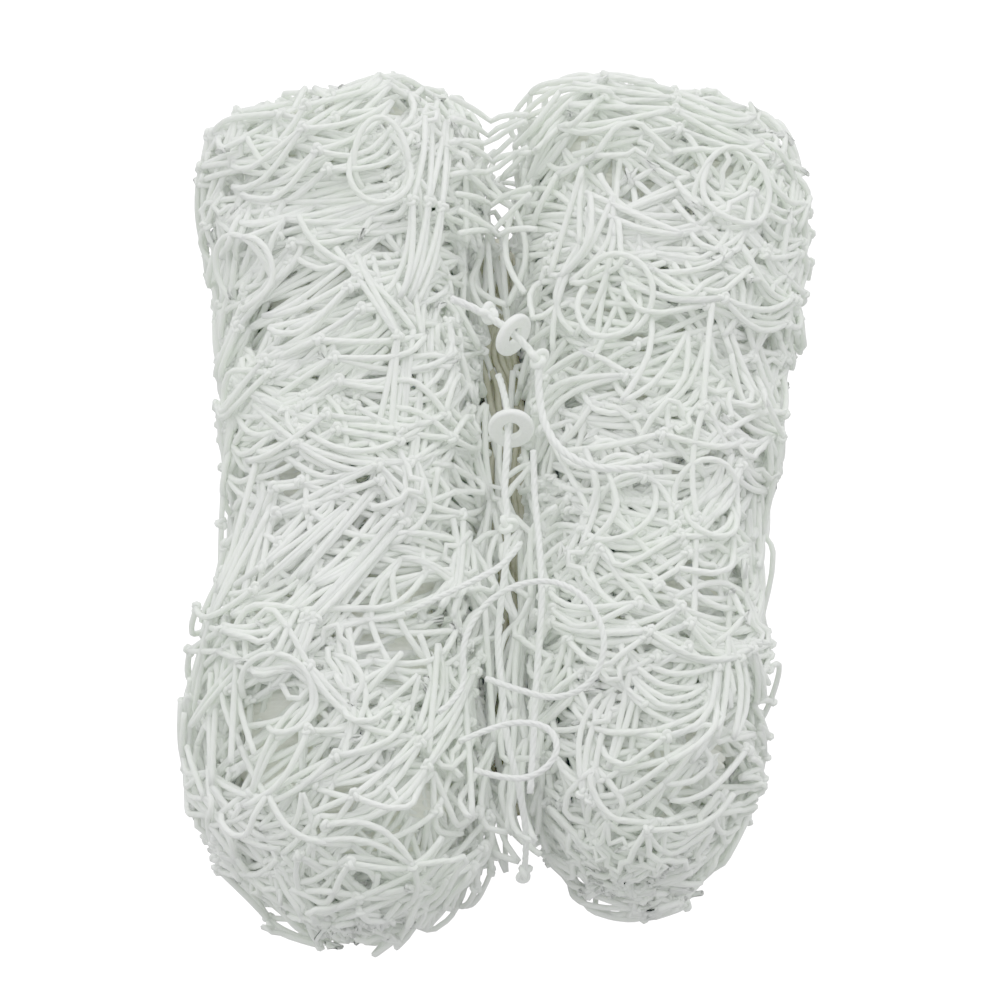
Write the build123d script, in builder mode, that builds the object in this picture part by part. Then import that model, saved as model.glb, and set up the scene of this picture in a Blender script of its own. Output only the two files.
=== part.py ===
from build123d import *
from collections import namedtuple
from math import cos, pi, radians, sin, sqrt, tan
import os

# A white knotted sports net, put away: the netting is gathered lengthwise and wound into two thick
# halves that lie side by side on their backs, joined by a fold underneath. The border cord comes up
# into the valley between the halves and carries two moulded rings, and slack bars of the mesh
# bridge the valley.
# Frame: +X across the two halves, +Y along them towards the far end, +Z up out of the valley.
# The origin is on the surface that the net lies on, under the middle of the bundle. Millimetres.

# --- driving dimensions -------------------------------------------------------------------------
TWINE = 2.2              # netting twine
BORDER_CORD = 2.8        # cord that the top edge of the netting is hung on
SIDE_CORD = 2.4          # cord along its other edges

UPPER_ROUND = 40.0       # edge radius of a half along the valley and along its outer crest
LOWER_ROUND = 20.0       # edge radius underneath, where its own weight flattens it
NEAR_ROUND = 38.0        # how far in from its near end a half starts to round off
FAR_ROUND = 26.0         # the same at its far end, which is blunter
FAR_LEAN = 0.55          # share of the far end's rounding that its valley side gives to its outer side
END_STEPS = (0.62, 0.28, 0.07, 0.0)   # sections of a rounded end, as shares of its rounding
END_LIMIT = 0.82         # most that an end's outline draws in, as a share of its rounding
END_FROM = 130.0         # a station further out than this is the end of its half
LOWER_INSET = 0.5        # an end rounds off half as much underneath as it does above
ROUND_LIMIT = 0.44       # largest edge radius, as a share of a section's width
VALLEY_GAP = 1.2         # netting stands this far back from the middle line of the valley
SINK = 2.0               # depth that is pressed flat underneath

CORE_INSET = 27.0        # from an end of a half to its inner turns
CORE_WIDTH = 46.0        # inner turns, across a half
CORE_TAPER = 0.9         # their ends are this much narrower
CORE_HEIGHT = 52.0
CORE_MIDDLE = 53.0       # height of the inner turns' middle
CORE_ROUND = 18.0
CORE_EDGE = 6.0
BUNDLE_RADII = (8.0, 11.0)   # hidden border cords inside a half, as one flat hank
BUNDLE_END = 12.0

RING_OUTER = 15.0        # moulded border ring, across
RING_HOLE = 5.6
RING_THICK = 2.6
RING_EDGE = 1.0          # rounding of the ring's rim

MESH_KNOT = 5.4          # knot of the mesh, across
MESH_KNOT_GAP = 1.5      # room under it, more than a slope of the crest takes up
BORDER_KNOT = 7.2        # overhand knot in the head cord, across
SIDE_KNOT = 6.4          # overhand knot in the side cord, across

FOLD_HALF_WIDTH = 8.5    # fold underneath that joins the halves
FOLD_HEIGHT = 9.0
BACK_FOLD_LINE = [(-112.0, 4.1), (-60.0, 3.2), (-15.0, 4.5), (42.0, 1.0), (88.0, -1.3),
                  (116.0, -3.5)]   # Y and X of its middle, under the valley

# --- shape of the two halves --------------------------------------------------------------------
# A station is one cross-section of a half: its place along Y, the X of its outer side, the X of
# the valley's middle line there, its height, and the slope of the wrap as it crosses the half.
Station = namedtuple("Station", "y outer valley crest slope")

LEFT_WRAPS = {
    "left_bottom_wrap": [
        Station(-150.0, -93.0, 5.0, 106.0, 0.0),
        Station(-118.0, -102.5, 4.0, 108.0, 4.0),
        Station(-86.0, -103.0, 1.0, 105.0, 8.0),
    ],
    "left_lower_wrap": [
        Station(-86.0, -103.0, 1.0, 105.0, 8.0),
        Station(-58.0, -107.6, 3.0, 110.0, 4.0),
        Station(-29.0, -92.5, 5.5, 104.0, 0.0),
    ],
    "left_middle_wrap": [
        Station(-29.0, -92.5, 5.5, 104.0, 0.0),
        Station(-4.0, -95.0, 3.5, 109.0, 2.0),
        Station(20.0, -95.0, 2.0, 105.0, 5.0),
    ],
    "left_upper_wrap": [
        Station(20.0, -95.0, 2.0, 105.0, 5.0),
        Station(42.0, -97.0, 1.0, 109.0, 7.0),
        Station(64.0, -96.5, 0.0, 104.0, 9.0),
    ],
    "left_top_wrap": [
        Station(64.0, -96.5, 0.0, 104.0, 9.0),
        Station(98.0, -104.5, -2.0, 110.0, 4.0),
        Station(124.0, -104.0, -4.0, 108.0, 0.0),
        Station(150.0, -102.0, -5.0, 106.0, 0.0),
    ],
}
RIGHT_WRAPS = {
    "right_bottom_wrap": [
        Station(-136.0, 83.0, 5.0, 106.0, 0.0),
        Station(-108.0, 91.5, 4.0, 108.0, 2.0),
        Station(-80.0, 91.5, 1.5, 105.0, 4.0),
    ],
    "right_lower_wrap": [
        Station(-80.0, 91.5, 1.5, 105.0, 4.0),
        Station(-47.0, 94.5, 4.0, 110.0, 3.0),
        Station(-15.0, 91.5, 4.5, 104.0, 2.0),
    ],
    "right_middle_wrap": [
        Station(-15.0, 91.5, 4.5, 104.0, 2.0),
        Station(13.0, 98.5, 2.5, 110.0, -2.0),
        Station(42.0, 97.0, 1.0, 105.0, -6.0),
    ],
    "right_upper_wrap": [
        Station(42.0, 97.0, 1.0, 105.0, -6.0),
        Station(66.0, 104.5, 0.0, 109.0, -3.0),
        Station(88.0, 106.5, -1.5, 106.0, 0.0),
    ],
    "right_top_wrap": [
        Station(88.0, 106.5, -1.5, 106.0, 0.0),
        Station(102.0, 108.0, -2.5, 108.0, 0.0),
        Station(116.0, 106.0, -3.5, 106.0, 0.0),
        Station(148.0, 102.0, -4.5, 105.0, 0.0),
    ],
}


# --- cords: width, then the route by hand -------------------------------------------------------
CORDS = {
    "head_cord": (BORDER_CORD, [
        (-16.0, 51.5, 102.8), (-4.4, 48.7, 98.6), (12.8, 32.3, 101.0), (12.4, 20.4, 98.6),
        (14.4, 8.2, 99.5), (19.8, -1.8, 103.0), (29.0, -8.6, 107.0), (40.5, -10.6, 109.6),
        (52.0, -8.6, 109.0),
    ]),
    "side_cord": (SIDE_CORD, [
        (-0.5, 31.0, 86.5), (2.8, 18.5, 93.5), (2.4, 0.5, 97.5), (1.2, -11.5, 96.5),
        (2.7, -24.5, 96.5), (2.0, -37.0, 94.5), (0.2, -51.0, 95.5), (-0.9, -65.0, 95.0),
        (0.7, -79.0, 92.5), (1.6, -92.5, 92.0), (4.6, -105.0, 90.5), (7.4, -115.5, 83.0),
        (8.6, -125.0, 72.0), (7.8, -130.5, 60.0),
    ]),
    "selvedge_cord": (SIDE_CORD, [
        (10.8, 2.0, 94.0), (11.0, -12.0, 93.0), (12.6, -29.0, 94.5), (13.6, -47.0, 98.0),
        (12.6, -65.0, 97.0), (11.2, -82.0, 94.0), (10.6, -99.0, 93.5), (9.6, -113.0, 90.5),
    ]),
    "wide_loop": (TWINE, [
        (-19.5, -90.0, 103.0), (-10.5, -82.0, 97.5), (-12.6, -68.0, 101.5), (-7.0, -54.5, 100.5),
        (4.0, -46.6, 101.5), (17.5, -45.8, 104.5), (28.5, -54.0, 109.0), (34.2, -68.5, 110.5),
        (30.0, -81.5, 107.0), (18.5, -85.6, 102.0), (6.5, -81.5, 98.6), (-4.5, -76.5, 96.4),
    ]),
    "crossing_bar": (TWINE, [
        (-30.0, -59.5, 111.5), (-19.6, -53.6, 109.2), (-7.6, -46.0, 104.5), (2.0, -39.4, 100.8),
        (6.6, -31.4, 98.6),
    ]),
    "small_loop": (TWINE, [
        (-13.0, -99.5, 102.0), (-2.5, -93.6, 99.2), (8.0, -91.4, 98.4), (16.6, -94.6, 100.6),
        (18.8, -102.8, 101.0), (12.6, -109.4, 98.8), (3.0, -110.8, 96.8), (-8.0, -107.6, 98.0),
    ]),
}
CORD_KNOTS = {
    "head_cord_knots": ("head_cord", BORDER_KNOT, [(-4.0, 48.2, 98.8), (12.4, 31.6, 100.6)]),
    "side_cord_knots": ("side_cord", SIDE_KNOT, [(2.5, -24.4, 96.4), (7.8, -130.5, 60.0)]),
}

# --- rings: the middle of each and the way it faces ---------------------------------------------
RINGS = {
    "upper_ring": ((4.35, 40.35, 99.15), (0.72, -0.62, 0.31)),
    "lower_ring": ((3.6, 9.3, 95.2), (0.0, -0.86, 0.51)),
}

# --- mesh knots that stand proud on the crests, as X and Y --------------------------------------
MESH_KNOTS = {
    "left": [(-86, -57), (-33, -66), (-30, -96), (-88, -98), (-52, -110), (-62, -24), (-40, 8),
             (-72, 30), (-30, 40), (-58, 72), (-36, 100), (-74, 108)],
    "right": [(80, -42), (60, -64), (38, -104), (72, -98), (52, -24), (80, 6), (46, 34),
              (84, 52), (34, 66), (62, 84), (40, 108), (76, 116)],
}


def inner_side(station, side):
    """X of the side that faces the valley; side is -1 for the left half and +1 for the right."""
    return station.valley + side * VALLEY_GAP


def section_plane(station, side):
    """The upright plane of a station, turned by the slope of its wrap."""
    middle = (station.outer + inner_side(station, side)) / 2
    turn = radians(station.slope)
    return Plane(origin=(middle, station.y, 0), x_dir=(cos(turn), sin(turn), 0),
                 z_dir=(sin(turn), -cos(turn), 0))


def draw_section(station, side, inset=0.0, lean=0.0, y=None):
    """Sketches a station's outline, drawn in by inset and moved towards the valley by lean."""
    placed = station if y is None else station._replace(y=y)
    width = abs(station.outer - inner_side(station, side)) / cos(radians(station.slope)) - 2 * inset
    low = LOWER_INSET * inset - SINK
    high = station.crest - inset
    upper_round = min(UPPER_ROUND, ROUND_LIMIT * width)
    lower_round = min(LOWER_ROUND, ROUND_LIMIT * width)
    with BuildSketch(section_plane(placed, side)) as outline:
        with Locations((-side * lean, (low + high) / 2)):
            Rectangle(width, high - low)
        fillet(outline.vertices().sort_by(Axis.Y)[:2], lower_round)
        fillet(outline.vertices().sort_by(Axis.Y)[-2:], upper_round)
    return outline.sketch


def end_sections(station, side, towards):
    """Outlines that round a half off to its end, from the broadest to the end itself."""
    reach, lean = (FAR_ROUND, FAR_LEAN) if towards > 0 else (NEAR_ROUND, 0.0)
    sections = []
    for step in END_STEPS:
        back = step * reach
        inset = min(reach - sqrt(reach ** 2 - (reach - back) ** 2), END_LIMIT * reach)
        sections.append(draw_section(station, side, inset, lean * inset, station.y - towards * back))
    return sections


def make_core(stations, side):
    """The inner turns of a half: a blunt roll, CORE_INSET inside the outer wraps."""
    first, last = stations[0].y + CORE_INSET, stations[-1].y - CORE_INSET
    with BuildPart() as core:
        for y in (first, (first + last) / 2, last):
            near = min(stations, key=lambda station: abs(station.y - y))
            middle = (near.outer + inner_side(near, side)) / 2
            width = CORE_WIDTH if 0 < abs(y - first) < last - first else CORE_TAPER * CORE_WIDTH
            with BuildSketch(Plane.XZ.offset(-y)):
                with Locations((middle, CORE_MIDDLE)):
                    RectangleRounded(width, CORE_HEIGHT, CORE_ROUND)
        loft()
        fillet(core.faces().filter_by(Axis.Y).edges(), CORE_EDGE)
    return core.part


def make_border_bundle(core):
    """The lengths of border cord that are gathered inside the inner turns, as one flat hank."""
    box = core.bounding_box()
    with BuildPart() as bundle:
        with BuildSketch(Plane.XZ.offset(-box.min.Y - BUNDLE_END)):
            with Locations((box.center().X, CORE_MIDDLE)):
                Ellipse(*BUNDLE_RADII)
        extrude(amount=-(box.size.Y - 2 * BUNDLE_END))
    return bundle.part


def make_wrap(stations, side, core):
    """One wrap of gathered netting round the inner turns, flat where it lies, round at an end."""
    near_end = stations[0].y < -END_FROM
    far_end = stations[-1].y > END_FROM
    whole = stations[1:] if near_end else stations[:-1] if far_end else stations
    sections = [draw_section(station, side) for station in whole]
    with BuildPart() as wrap:
        loft(sections)
        if near_end:
            loft([sections[0]] + end_sections(stations[0], side, -1), ruled=True)
        if far_end:
            loft([sections[-1]] + end_sections(stations[-1], side, 1), ruled=True)
        add(core, mode=Mode.SUBTRACT)
        split(bisect_by=Plane.XY, keep=Keep.TOP)
    return wrap.part


def make_back_fold():
    """The netting that crosses from one half to the other underneath, in the gap they leave."""
    sections = []
    for y, middle in BACK_FOLD_LINE:
        with BuildSketch(Plane.XZ.offset(-y)) as outline:
            with BuildLine():
                Polyline((middle - FOLD_HALF_WIDTH, 0), (middle + FOLD_HALF_WIDTH, 0),
                         (middle, FOLD_HEIGHT), close=True)
            make_face()
        sections.append(outline.sketch)
    with BuildPart() as fold:
        loft(sections, ruled=True)
    return fold.part


def corner_radii(route):
    """The largest arcs that fit a route: 0.45 of the shorter run over the tangent of half the turn."""
    points = [Vector(*point) for point in route]
    radii = []
    for before, corner, after in zip(points, points[1:], points[2:]):
        arriving, leaving = corner - before, after - corner
        half_turn = radians(arriving.get_angle(leaving)) / 2
        radii.append(0.45 * min(arriving.length, leaving.length) / tan(half_turn))
    return radii


def make_cord(name, route, diameter):
    """A cord lying free: straight runs joined by tangent arcs."""
    radii = corner_radii(route)
    with BuildPart() as cord:
        with BuildLine() as path:
            FilletPolyline(*route, radius=radii)
        line = path.wire()
        with BuildSketch(Plane(origin=line @ 0, z_dir=line % 0)):
            Circle(diameter / 2)
        sweep()
    expected = pi * diameter ** 2 / 4 * line.length
    print(f"{name}: length {line.length:.0f}, volume {cord.part.volume:.0f} of {expected:.0f}, "
          f"radii {[round(radius, 1) for radius in radii]}")
    return cord.part


def make_ring(middle, normal):
    """A moulded ring: a flat washer with a rounded rim."""
    with BuildPart() as ring:
        with BuildSketch(Plane(origin=middle, z_dir=normal)):
            Circle(RING_OUTER / 2)
            Circle(RING_HOLE / 2, mode=Mode.SUBTRACT)
        extrude(amount=RING_THICK / 2, both=True)
        fillet(ring.edges(), RING_EDGE)
    return ring.part


def make_knots(places, across, cord):
    """Knots tied in a cord, as one group: each is a separate solid that fits round the cord."""
    with BuildPart() as knots:
        for place in places:
            with Locations(place):
                Sphere(across / 2)
        add(cord, mode=Mode.SUBTRACT)
    return knots.part


def make_mesh_knots(places, wraps):
    """Knots of the mesh that stand on the crest of a half, as one group of separate solids."""
    with BuildPart() as knots:
        for x, y in places:
            line = Axis((x, y, 0), (0, 0, 1))
            hits = [point.Z for wrap in wraps for point, _ in wrap.find_intersection_points(line)]
            with Locations((x, y, max(hits) + MESH_KNOT_GAP + MESH_KNOT / 2)):
                Sphere(MESH_KNOT / 2)
    return knots.part


def save(solid, name):
    solid.label = name
    export_step(solid, f"parts/{name}.step")


os.makedirs("parts", exist_ok=True)

# --- the two halves: wraps of gathered netting round inner turns and hidden border cords --------
for half, wraps, side in (("left", LEFT_WRAPS, -1), ("right", RIGHT_WRAPS, 1)):
    stations = [station for listed in wraps.values() for station in listed]
    core = make_core(stations, side)
    bundle = make_border_bundle(core)
    save(core - bundle, f"{half}_inner_turns")
    save(bundle, f"{half}_border_cords")
    made = []
    for name, listed in wraps.items():
        made.append(make_wrap(listed, side, core))
        save(made[-1], name)
    save(make_mesh_knots(MESH_KNOTS[half], made), f"{half}_mesh_knots")
save(make_back_fold(), "back_fold")

# --- cords that lie free in the valley, and the slack bars of mesh that bridge it ---------------
cords = {name: make_cord(name, route, width) for name, (width, route) in CORDS.items()}
for name, cord in cords.items():
    save(cord, name)
for name, (cord_name, across, places) in CORD_KNOTS.items():
    save(make_knots(places, across, cords[cord_name]), name)

# --- moulded rings, each threaded on its cord and turning about it ------------------------------
for name, (middle, normal) in RINGS.items():
    save(make_ring(middle, normal), name)
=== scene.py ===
import bpy
import numpy as np
from math import cos, pi, radians, sin, tan
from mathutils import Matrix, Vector
from mathutils.bvhtree import BVHTree


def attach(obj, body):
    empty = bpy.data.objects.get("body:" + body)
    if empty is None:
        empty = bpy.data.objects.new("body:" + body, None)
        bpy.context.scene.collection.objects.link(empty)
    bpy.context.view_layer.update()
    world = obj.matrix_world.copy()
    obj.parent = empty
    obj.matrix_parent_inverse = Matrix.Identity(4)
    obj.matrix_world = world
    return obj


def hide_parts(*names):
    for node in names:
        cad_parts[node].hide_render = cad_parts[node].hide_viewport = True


# A knotted white sports net, gathered and wound into two halves that lie side by side.
# The netting is rows of mesh knots joined by bars of twine, wound round each half and relaxed. The
# relaxation draws every bar towards one length, BAR, but its smoothing leaves most of them shorter:
# 37 mm at the median. Metres.

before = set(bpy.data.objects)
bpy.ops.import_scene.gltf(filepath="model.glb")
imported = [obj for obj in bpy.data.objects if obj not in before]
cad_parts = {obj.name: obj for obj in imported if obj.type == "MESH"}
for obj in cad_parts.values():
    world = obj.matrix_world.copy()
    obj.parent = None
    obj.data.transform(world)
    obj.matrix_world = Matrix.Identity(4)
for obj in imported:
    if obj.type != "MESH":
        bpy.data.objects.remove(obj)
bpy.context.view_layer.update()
chance = np.random.default_rng(7)
BODY = "net_bundle"

# --- camera: steeply down on the bundle from its near end -------------------
VIEW_ELEVATION = radians(70)
VIEW_DISTANCE = 1.9
VIEW_WIDTH = 0.3400          # what the frame takes in at the middle of the bundle
VIEW_RISE = 0.0180           # how far up the view the middle of the frame is from the origin
SENSOR = 36.0


def make_camera():
    data = bpy.data.cameras.new("camera")
    data.sensor_width = SENSOR
    data.lens = SENSOR * VIEW_DISTANCE / VIEW_WIDTH
    data.clip_end = 20
    camera = bpy.data.objects.new("camera", data)
    bpy.context.scene.collection.objects.link(camera)
    back = Vector((0, -cos(VIEW_ELEVATION), sin(VIEW_ELEVATION)))
    up = Vector((0, sin(VIEW_ELEVATION), cos(VIEW_ELEVATION)))
    camera.location = up * VIEW_RISE + back * VIEW_DISTANCE
    camera.rotation_euler = (pi / 2 - VIEW_ELEVATION, 0, 0)
    bpy.context.scene.camera = camera


make_camera()

# --- materials ---------------------------------------------------------------
PALE = (0.895, 0.950, 0.865)
SHADED = (0.80, 0.895, 0.755)
CRISP = (0.93, 0.965, 0.915)
BUMP_STRENGTH = 0.6
PLASTIC_IOR = 1.5            # of polyethylene


class Look:
    """A node material: a Principled shader whose colour, roughness and bump come from textures."""

    def __init__(self, name, scatter, scatter_reach=0.0015):
        self.material = bpy.data.materials.new(name)
        self.material.use_nodes = True
        self.nodes = self.material.node_tree.nodes
        self.links = self.material.node_tree.links
        self.shader = self.nodes["Principled BSDF"]
        self.shader.inputs["Subsurface Weight"].default_value = scatter
        self.shader.inputs["Subsurface Radius"].default_value = (1.0, 1.0, 0.9)
        self.shader.inputs["Subsurface Scale"].default_value = scatter_reach
        self.shader.inputs["IOR"].default_value = PLASTIC_IOR
        self.place = self.nodes.new("ShaderNodeTexCoord").outputs["Object"]

    def noise(self, scale, detail, roughness=0.5):
        node = self.nodes.new("ShaderNodeTexNoise")
        node.inputs["Scale"].default_value = scale
        node.inputs["Detail"].default_value = detail
        node.inputs["Roughness"].default_value = roughness
        self.links.new(self.place, node.inputs["Vector"])
        return node.outputs["Fac"]

    def sums(self, operation, first, second=None):
        node = self.nodes.new("ShaderNodeMath")
        node.operation = operation
        for socket, value in zip(node.inputs, (first, second)):
            if value is None:
                continue
            if isinstance(value, (int, float)):
                socket.default_value = value
            else:
                self.links.new(value, socket)
        return node.outputs["Value"]

    def ramp(self, value, stops):
        node = self.nodes.new("ShaderNodeValToRGB")
        while len(node.color_ramp.elements) < len(stops):
            node.color_ramp.elements.new(0.5)
        for element, (position, colour) in zip(node.color_ramp.elements, stops):
            element.position = position
            element.color = (*colour, 1)
        self.links.new(value, node.inputs["Fac"])
        return node.outputs["Color"]

    def darken(self, amount, first, second):
        """The first colour multiplied by the second, as far as the amount says."""
        node = self.nodes.new("ShaderNodeMix")
        node.data_type = "RGBA"
        node.blend_type = "MULTIPLY"
        node.inputs[0].default_value = amount
        self.links.new(first, node.inputs[6])
        self.links.new(second, node.inputs[7])
        return node.outputs[2]

    def spread(self, value, low, high):
        node = self.nodes.new("ShaderNodeMapRange")
        node.inputs["To Min"].default_value = low
        node.inputs["To Max"].default_value = high
        self.links.new(value, node.inputs["Value"])
        return node.outputs["Result"]

    def twist(self, lay, plies):
        """A height that runs round the strand as twisted plies do, from the strand's own UVs."""
        uv = self.nodes.new("ShaderNodeUVMap")
        uv.uv_map = "strand"
        parts = self.nodes.new("ShaderNodeSeparateXYZ")
        self.links.new(uv.outputs["UV"], parts.inputs["Vector"])
        along = self.sums("MULTIPLY", parts.outputs["X"], 2 * pi / lay)
        round_ = self.sums("MULTIPLY", parts.outputs["Y"], 2 * pi * plies)
        return self.sums("ABSOLUTE", self.sums("SINE", self.sums("ADD", along, round_)))

    def finish(self, colour, roughness, height, depth):
        bump = self.nodes.new("ShaderNodeBump")
        bump.inputs["Strength"].default_value = BUMP_STRENGTH
        bump.inputs["Distance"].default_value = depth
        self.links.new(height, bump.inputs["Height"])
        self.links.new(bump.outputs["Normal"], self.shader.inputs["Normal"])
        self.links.new(colour, self.shader.inputs["Base Color"])
        self.links.new(roughness, self.shader.inputs["Roughness"])
        return self.material


def twine_look(name, pale, shaded, lay, depth, scatter):
    """White polyethylene twine: soft gloss, fine lengthwise fibres, faint twist, a little grime."""
    look = Look(name, scatter=scatter)
    broad = look.noise(28, 3)
    fine = look.noise(520, 2)
    grime = look.ramp(look.noise(75, 4, 0.65), [(0.30, (0.80, 0.82, 0.76)), (0.46, (1, 1, 1))])
    base = look.ramp(look.sums("ADD", look.sums("MULTIPLY", broad, 0.7), look.sums("MULTIPLY", fine, 0.3)),
                     [(0.36, shaded), (0.62, pale)])
    colour = look.darken(0.35, base, grime)
    roughness = look.spread(look.noise(260, 3), 0.26, 0.50)
    height = look.sums("ADD", look.twist(lay, 2), look.sums("MULTIPLY", look.noise(2600, 1), 0.5))
    return look.finish(colour, roughness, height, depth)


TWINE_LOOK = twine_look("netting_twine", PALE, SHADED, 0.009, 0.00018, 0.35)
CORD_LOOK = twine_look("twisted_cord", CRISP, SHADED, 0.011, 0.00012, 0.30)


def packed_look(name, low, high):
    """Turns of twine packed deep in the bundle: the ridges are in the mesh, fibres in the bump, and the
    colours given paint their shade.
    """
    look = Look(name, scatter=0.2)
    colour = look.ramp(look.noise(60, 4, 0.6), [(0.35, low), (0.65, high)])
    roughness = look.spread(look.noise(180, 3), 0.45, 0.7)
    return look.finish(colour, roughness, look.noise(900, 3), 0.0006)


def ring_look():
    """Milky moulded plastic, slightly scuffed on its outer edge."""
    look = Look("ring_plastic", scatter=0.5, scatter_reach=0.002)
    scuff = look.ramp(look.noise(900, 4, 0.7), [(0.42, (0.82, 0.84, 0.80)), (0.55, (0.95, 0.955, 0.94))])
    colour = look.darken(0.5, look.ramp(look.noise(90, 2), [(0.3, PALE), (0.7, CRISP)]), scuff)
    roughness = look.spread(look.noise(500, 3), 0.18, 0.42)
    return look.finish(colour, roughness, look.noise(700, 3), 0.0001)


# The packed twine's colours are darker and more olive than the twine outside it: painted shade and bounce
# light of the deep gaps between the wraps.
PACKED_LOOK = packed_look("packed_twine", (0.72, 0.755, 0.56), (0.87, 0.905, 0.77))
# The strands at the foot of the valley are painted near black olive: painted shade of the deep valley.
VALLEY_SHADE_LOOK = packed_look("valley_painted_shade", (0.17, 0.17, 0.075), (0.36, 0.36, 0.21))
RING_LOOK = ring_look()


# --- strands as meshes -------------------------------------------------------
SIDES = 6                    # of a strand's cross-section
STRAND_SHIFT = 0.37          # between the textures of one strand and the next, along them


def new_mesh(name, points, quads, uvs=None, look=None):
    mesh = bpy.data.meshes.new(name)
    mesh.vertices.add(len(points))
    mesh.vertices.foreach_set("co", points.astype(np.float32).ravel())
    mesh.loops.add(quads.size)
    mesh.loops.foreach_set("vertex_index", quads.ravel().astype(np.int32))
    mesh.polygons.add(len(quads))
    mesh.polygons.foreach_set("loop_start", np.arange(len(quads), dtype=np.int32) * 4)
    mesh.polygons.foreach_set("use_smooth", np.ones(len(quads), dtype=bool))
    mesh.update(calc_edges=True)
    if uvs is not None:
        layer = mesh.uv_layers.new(name="strand")
        layer.data.foreach_set("uv", uvs.astype(np.float32).ravel())
    if look:
        mesh.materials.append(look)
    thing = bpy.data.objects.new(name, mesh)
    bpy.context.scene.collection.objects.link(thing)
    return thing


def unit(vectors):
    return vectors / (np.linalg.norm(vectors, axis=-1, keepdims=True) + 1e-12)


def frames(lines):
    """Two directions across each line that turn as little as they can."""
    ways = unit(np.gradient(lines, axis=1))
    guide = unit(np.cross(ways[:, 0], np.array([0.31, 0.52, 0.79])))
    normals = np.zeros_like(lines)
    for step in range(lines.shape[1]):
        guide = unit(guide - np.sum(guide * ways[:, step], axis=1, keepdims=True) * ways[:, step])
        normals[:, step] = guide
    return normals, np.cross(ways, normals)


def tubes(lines, radius):
    """Round closed strands along lines of points: corners, quads, and UVs in metres and turns."""
    count, steps, _ = lines.shape
    normals, others = frames(lines)
    turn = np.arange(SIDES) / SIDES * 2 * pi
    ring = np.cos(turn)[:, None] * normals[:, :, None] + np.sin(turn)[:, None] * others[:, :, None]
    points = (lines[:, :, None] + radius * ring).reshape(-1, 3)
    base = (np.arange(count) * steps * SIDES)[:, None, None]
    i = (np.arange(steps - 1) * SIDES)[None, :, None]
    j = np.arange(SIDES)[None, None, :]
    k = (j + 1) % SIDES
    quads = np.stack([base + i + j, base + i + SIDES + j, base + i + SIDES + k, base + i + k], axis=-1)
    lengths = np.linalg.norm(np.diff(lines, axis=1), axis=2)
    run = np.concatenate([np.zeros((count, 1)), np.cumsum(lengths, axis=1)], axis=1)
    run = run + np.arange(count)[:, None] * STRAND_SHIFT
    u0, u1 = run[:, :-1, None], run[:, 1:, None]
    shape = (count, steps - 1, SIDES)
    corners = [(u0, j / SIDES), (u1, j / SIDES), (u1, (j + 1) / SIDES), (u0, (j + 1) / SIDES)]
    uvs = np.stack([np.stack([np.broadcast_to(u, shape), np.broadcast_to(v, shape)], axis=-1)
                    for u, v in corners], axis=-2)
    ends = []
    for fan in ([0, 1, 2, 3], [0, 3, 4, 5]):
        ends.append(base[:, 0] + np.array(fan))
        ends.append(base[:, 0] + (steps - 1) * SIDES + np.array(fan[::-1]))
    quads = np.concatenate([quads.reshape(-1, 4), *ends])
    flat = np.zeros((quads.shape[0] * 4, 2))
    flat[:uvs.size // 2] = uvs.reshape(-1, 2)
    return points, quads, flat


def join(parts):
    """One set of corners, quads and UVs from several."""
    points, quads, uvs, first = [], [], [], 0
    for some_points, some_quads, some_uvs in parts:
        points.append(some_points)
        quads.append(some_quads + first)
        uvs.append(some_uvs)
        first += len(some_points)
    return np.concatenate(points), np.concatenate(quads), np.concatenate(uvs)


def knot_lines(places, ways, size, steps=19):
    """A small overhand knot at each place, its long side along the strand through it."""
    t = np.linspace(0, 2 * pi, steps)
    loop = np.stack([np.sin(t) + 2 * np.sin(2 * t), np.cos(t) - 2 * np.cos(2 * t),
                     -1.3 * np.sin(3 * t)], axis=1) * size / 6
    ways = unit(ways)
    side = unit(np.cross(ways, np.array([0.20, 0.35, 0.91])))
    third = np.cross(ways, side)
    axes = np.stack([ways, side, third], axis=1)
    return places[:, None] + loop @ axes


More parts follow.
